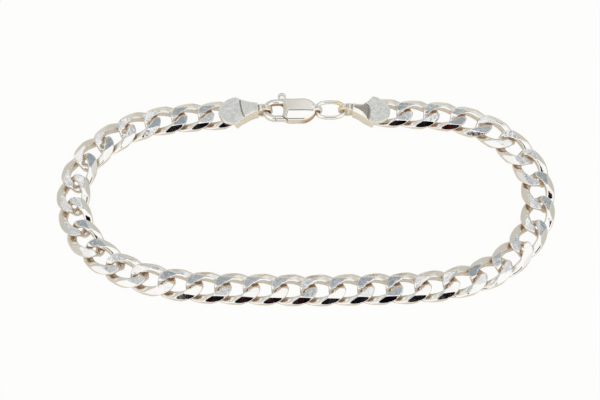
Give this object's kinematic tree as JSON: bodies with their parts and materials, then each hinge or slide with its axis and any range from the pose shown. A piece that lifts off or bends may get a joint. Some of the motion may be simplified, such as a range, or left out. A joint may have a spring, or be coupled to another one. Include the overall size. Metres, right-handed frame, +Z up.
{
  "type": "flat curb link bracelet with a lobster clasp",
  "caption": "Flat bevelled curb chain bracelet, closed in a long loop by a lobster clasp, an oval jump ring and two stamped end tabs.",
  "frame": {"origin": "centre of the loop on the surface that it lies on", "axes": "+X along the loop, from the left tab's side to the right; +Y across it, towards the clasp; +Z up from the surface"},
  "size_m": [0.0934, 0.0462, 0.0026],
  "materials": {
    "polished_silver": "bright polished silver with cut flat faces",
    "satin_silver": "fine-grained stamped silver",
    "clasp_silver": "polished cast silver"
  },
  "bodies": {
    "bracelet": {"link_01": "polished_silver", "link_02": "polished_silver", "link_03": "polished_silver", "link_04": "polished_silver", "link_05": "polished_silver", "link_06": "polished_silver", "link_07": "polished_silver", "link_08": "polished_silver", "link_09": "polished_silver", "link_10": "polished_silver", "link_11": "polished_silver", "link_12": "polished_silver", "link_13": "polished_silver", "link_14": "polished_silver", "link_15": "polished_silver", "link_16": "polished_silver", "link_17": "polished_silver", "link_18": "polished_silver", "link_19": "polished_silver", "link_20": "polished_silver", "link_21": "polished_silver", "link_22": "polished_silver", "link_23": "polished_silver", "link_24": "polished_silver", "link_25": "polished_silver", "link_26": "polished_silver", "link_27": "polished_silver", "link_28": "polished_silver", "link_29": "polished_silver", "link_30": "polished_silver", "link_31": "polished_silver", "link_32": "polished_silver", "link_33": "polished_silver", "link_34": "polished_silver", "left_end_tab": "satin_silver", "right_end_tab": "satin_silver", "clasp_body": "clasp_silver", "jump_ring": "clasp_silver"},
    "trigger": {"clasp_trigger": "clasp_silver"}
  },
  "joints": [
    {"name": "gate_hinge", "type": "hinge", "parent": "bracelet", "child": "trigger", "pos_m": [-0.00346, 0.01795, 0.0013], "axis": [0, 0, -1], "range_deg": [0, 42], "stiffness_Nm_per_rad": 0.01}
  ]
}
